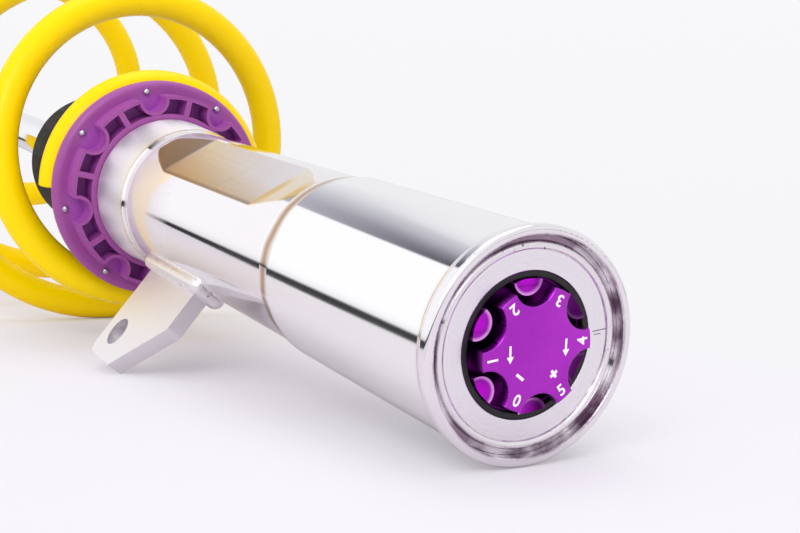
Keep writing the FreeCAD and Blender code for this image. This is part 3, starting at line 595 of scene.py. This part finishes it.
def spring_mesh():
    rings = list(CUT_END)
    for i in range(SPRING_STEPS + 1):
        rings.append((CUT_OVER + (SPRING_END - 2.0 * CUT_OVER) * i / SPRING_STEPS, 1.0))
    rings = rings + [(SPRING_END - turn, share) for turn, share in reversed(CUT_END)]
    verts = []
    for turn, share in rings:
        c = spring_point(turn)
        t = (spring_point(turn + 0.4) - spring_point(turn - 0.4)).normalized()
        u = Vector((c.x, c.y, 0)).normalized()
        u = (u - t * u.dot(t)).normalized()
        w = t.cross(u)
        for k in range(SPRING_SIDES):
            a = 2.0 * math.pi * k / SPRING_SIDES
            p = c + (u * math.cos(a) + w * math.sin(a)) * (WIRE_R * share)
            verts.append(at(p.x, p.y, p.z))
    faces = grid_faces(len(rings), SPRING_SIDES)
    n = len(verts)
    faces.append(tuple(range(SPRING_SIDES)))
    faces.append(tuple(range(n - 1, n - 1 - SPRING_SIDES, -1)))
    return verts, faces


verts, faces = spring_mesh()
piece("coil_spring", verts, faces, looks["yellow_coat"], "carriage", "main_spring")

# Thread on the sleeve: trapezoid ridges that fade out at both ends
LEAD = 2.0
THREAD_LOW = 246.5
THREAD_TOP = 346.0
THREAD_CREST_R = 29.0
THREAD_ROOT_R = 27.1
THREAD_BORE_R = 25.45
THREAD_FLAT = 0.28
THREAD_FLANK = 0.22
THREAD_FADE = 1.6
THREAD_SIDES = 120
LEAD_ROWS = 8
THREAD_ROWS = int((THREAD_TOP - THREAD_LOW) / LEAD * LEAD_ROWS)


def thread_height(place):
    """share of a ridge's height at a place counted in pitches: crest, flank, root, flank"""
    p = place % 1.0
    if p < THREAD_FLAT:
        return 1.0
    if p < 0.5:
        return 1.0 - (p - THREAD_FLAT) / THREAD_FLANK
    if p < 0.5 + THREAD_FLAT:
        return 0.0
    return (p - 0.5 - THREAD_FLAT) / THREAD_FLANK


def thread_mesh():
    verts = []
    for i in range(THREAD_ROWS + 1):
        z = THREAD_LOW + (THREAD_TOP - THREAD_LOW) * i / THREAD_ROWS
        fade = ease(min(z - THREAD_LOW, THREAD_TOP - z) / THREAD_FADE)
        for j in range(THREAD_SIDES):
            share = j / THREAD_SIDES
            height = (THREAD_CREST_R - THREAD_ROOT_R) * thread_height(z / LEAD - share) * fade
            verts.append(at_polar(THREAD_ROOT_R + height, 360.0 * share, z))
    for z in (THREAD_TOP, THREAD_LOW):
        verts = verts + [at_polar(THREAD_BORE_R, 360.0 * j / THREAD_SIDES, z) for j in range(THREAD_SIDES)]
    return verts, grid_faces(THREAD_ROWS + 3, THREAD_SIDES, wrap_rows=True)


verts, faces = thread_mesh()
piece("sleeve_thread", verts, faces, looks["black_coat"], "strut_body", "threaded_sleeve")

# Numbers and marks on the knob's face, and two scribed lines on the cap
MARK_HALF = 0.03
LINE_HALF = 0.02
KNOB_MARK_Z = -2.02
CAP_LINE_Z = 2.49
DIGIT_SIZE = 4.0
DIGIT_BOLD = 0.07
DIGIT_R = 12.6


def face_mark(name, mesh, r, angle, turn, z, body, mat):
    """a flat mark on a face square to the axis, read from the rim's side"""
    up = Matrix.Rotation(math.radians(turn), 3, AXIS) @ outward(angle)
    out = -AXIS
    right = up.cross(out)
    pos = at_polar(r, angle, z)
    mesh.transform(Matrix((
        (right.x, up.x, out.x, pos.x),
        (right.y, up.y, out.y, pos.y),
        (right.z, up.z, out.z, pos.z),
        (0, 0, 0, 1))))
    obj = add_object(name, mesh, mat)
    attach(obj, body)


def text_mesh(text):
    curve = bpy.data.curves.new("text", "FONT")
    curve.body = text
    curve.size = DIGIT_SIZE / 1000.0
    curve.align_x = "CENTER"
    curve.align_y = "CENTER"
    curve.extrude = MARK_HALF / 1000.0
    curve.offset = DIGIT_BOLD / 1000.0
    curve.resolution_u = 6
    obj = bpy.data.objects.new("text", curve)
    bpy.context.scene.collection.objects.link(obj)
    mesh = bpy.data.meshes.new_from_object(obj)
    bpy.data.objects.remove(obj)
    return mesh


def flat_mesh(outline, half=MARK_HALF):
    mesh = bpy.data.meshes.new("mark")
    n = len(outline)
    verts = [(x / 1000, y / 1000, z / 1000) for z in (-half, half) for x, y in outline]
    faces = [tuple(range(n - 1, -1, -1)), tuple(range(n, 2 * n))]
    faces = faces + [(i, (i + 1) % n, n + (i + 1) % n, n + i) for i in range(n)]
    mesh.from_pydata(verts, [], faces)
    mesh.update()
    return mesh


def rectangle(x, y):
    return [(-x, -y), (x, -y), (x, y), (-x, y)]


ARROW = [(-0.27, 2.1), (-0.27, -0.5), (-0.95, -0.5), (0.0, -2.1), (0.95, -0.5), (0.27, -0.5), (0.27, 2.1)]
MINUS = rectangle(1.25, 0.36)
PLUS = [(-1.1, -0.36), (-0.36, -0.36), (-0.36, -1.1), (0.36, -1.1), (0.36, -0.36), (1.1, -0.36),
        (1.1, 0.36), (0.36, 0.36), (0.36, 1.1), (-0.36, 1.1), (-0.36, 0.36), (-1.1, 0.36)]
for index, digit in enumerate("450123"):
    face_mark("digit_" + digit, text_mesh(digit), DIGIT_R, KNOB_ANGLE + KNOB_STEP * index, 180.0,
              KNOB_MARK_Z, "knob", ink)
for name, outline, r, angle, turn in (("arrow_soft", ARROW, 7.7, 266.0, 90.0),
                                      ("arrow_firm", ARROW, 7.8, 88.0, -90.0),
                                      ("mark_minus", MINUS, 7.5, 217.0, 0.0),
                                      ("mark_plus", PLUS, 7.7, 140.0, 0.0)):
    face_mark(name, flat_mesh(outline), r, angle, turn, KNOB_MARK_Z, "knob", ink)
for name, outline, r, angle in (("cap_line", rectangle(0.12, 2.1), 21.0, 83.1),
                                ("cap_line_short", rectangle(0.1, 1.0), 20.3, 85.6)):
    face_mark(name, flat_mesh(outline, LINE_HALF), r, angle, 0.0, CAP_LINE_Z,
              "strut_body", groove)

# Floor: it takes the shadow near the strut and is the plain backdrop further off
BACKDROP = (0.925, 0.915, 0.945, 1)
HALF_LENGTH = 0.3
floor_mesh = bpy.data.meshes.new("floor")
floor_mesh.from_pydata([(-1.6, -1.3, 0), (1.6, -1.3, 0), (1.6, 2.4, 0), (-1.6, 2.4, 0)], [], [(0, 1, 2, 3)])
fs = Shader("floor", srgb(229, 225, 231), 0.0, 0.8)
fs.set("Specular IOR Level", 0.15)
path = fs.node("ShaderNodeLightPath")
# Seen in the metal the floor is a shade darker: painted shade in its reflection
fs.set("Base Color", fs.mix(path.outputs["Is Glossy Ray"], srgb(229, 225, 231), srgb(215, 209, 215)))
ahead = fs.math("ABSOLUTE", fs.dot(fs.place, (1.0, 0.0, 0.0)))
past_end = fs.math("MAXIMUM", fs.math("SUBTRACT", ahead, HALF_LENGTH), 0.0)
away = fs.length(past_end, fs.dot(fs.place, (0.0, 1.0, 0.0)))
fade = fs.times(fs.ramp(away, 0.02, 0.2, 0.25), path.outputs["Is Camera Ray"])
plain = fs.node("ShaderNodeEmission", Color=BACKDROP, Strength=1.0)
shown = fs.mix_shader(fade, fs.bsdf.outputs[0], plain.outputs[0])

# Metal mirrors the floor only up to a slanted front edge, and the tent's seam past it
in_front = fs.math("LESS_THAN", fs.dot(fs.place, (-0.24, 1.0, 0.0)), -0.197)
mirrored = fs.times(in_front, path.outputs["Is Glossy Ray"])
clear = fs.node("ShaderNodeBsdfTransparent")
surface = fs.mix_shader(mirrored, shown, clear.outputs[0])
fs.put(fs.tree.nodes["Material Output"].inputs["Surface"], surface)
floor = add_object("floor", floor_mesh, fs.mat)

# Studio: a white tent with a thin dark seam at table height and a grey panel over the far end
world = bpy.data.worlds.new("studio")
bpy.context.scene.world = world
world.use_nodes = True
world.node_tree.nodes.clear()
ws = Nodes(world.node_tree)
coord = ws.node("ShaderNodeTexCoord")
split = ws.node("ShaderNodeSeparateXYZ", Vector=coord.outputs["Generated"])
rise = split.outputs["Z"]
bearing = ws.math("ARCTAN2", ws.times(split.outputs["Y"], -1.0), ws.times(split.outputs["X"], -1.0))

# The tent's brightness by height, from -1 straight down to 1 straight up
TENT = ((-0.30, 0.78), (-0.092, 0.80), (-0.076, 0.05), (-0.014, 0.03), (0.004, 0.86),
        (0.05, 0.98), (0.10, 1.02), (0.60, 1.02))
tent_stops = [(z, (v, v, v * 1.015 + 0.006, 1)) for z, v in TENT]
tent = ws.gradient(rise, -1.0, 1.0, (0.62, 0.60, 0.63, 1), (0.92, 0.92, 0.93, 1), tent_stops)

# How much the panel dims the tent, by the place across its slant
PANEL = ((-0.42, 0.0), (-0.34, 0.08), (-0.28, 0.28), (-0.18, 0.44), (-0.04, 0.70), (0.08, 0.86),
         (0.155, 0.97), (0.172, 0.0))
BLACK = (0, 0, 0, 1)
slant = ws.math("ADD", ws.math("MULTIPLY_ADD", rise, -1.8, 0.977), bearing)
panel = ws.gradient(slant, -0.6, 0.4, BLACK, BLACK, [(place, (v, v, v, 1)) for place, v in PANEL])
hung = ws.times(ws.ramp(rise, 0.46, 0.62), ws.ramp(rise, 0.80, 0.92, 1.0, 0.0))
panel = ws.times(hung, panel)
dimmer_side = ws.math("MULTIPLY_ADD", ws.ramp(bearing, 0.2, -0.1), -0.15, 1.0)
around = ws.node("ShaderNodeBackground", Color=ws.mix(panel, tent, (0.88, 0.86, 1.08, 1)),
                 Strength=ws.times(dimmer_side, ws.inverse(panel)))
seen = ws.node("ShaderNodeBackground", Strength=1.0,
               Color=ws.gradient(rise, -0.05, 0.35, BACKDROP, (0.962, 0.962, 0.978, 1)))
to_camera = ws.node("ShaderNodeLightPath").outputs["Is Camera Ray"]
ws.node("ShaderNodeOutputWorld", Surface=ws.mix_shader(to_camera, around.outputs[0], seen.outputs[0]))


def lamp(name, place, target, width, height, power):
    data = bpy.data.lights.new(name, "AREA")
    data.shape = "RECTANGLE"
    data.size = width
    data.size_y = height
    data.energy = power
    obj = bpy.data.objects.new(name, data)
    obj.location = place
    obj.rotation_euler = (Vector(target) - Vector(place)).to_track_quat("-Z", "Y").to_euler()
    bpy.context.scene.collection.objects.link(obj)


lamp("key", (0.1, 0.2, 1.5), (0.0, 0.0, 0.05), 1.3, 0.9, 5.0)
lamp("fill", (1.1, -0.9, 0.9), (0.1, 0.0, 0.05), 0.9, 0.7, 8.0)
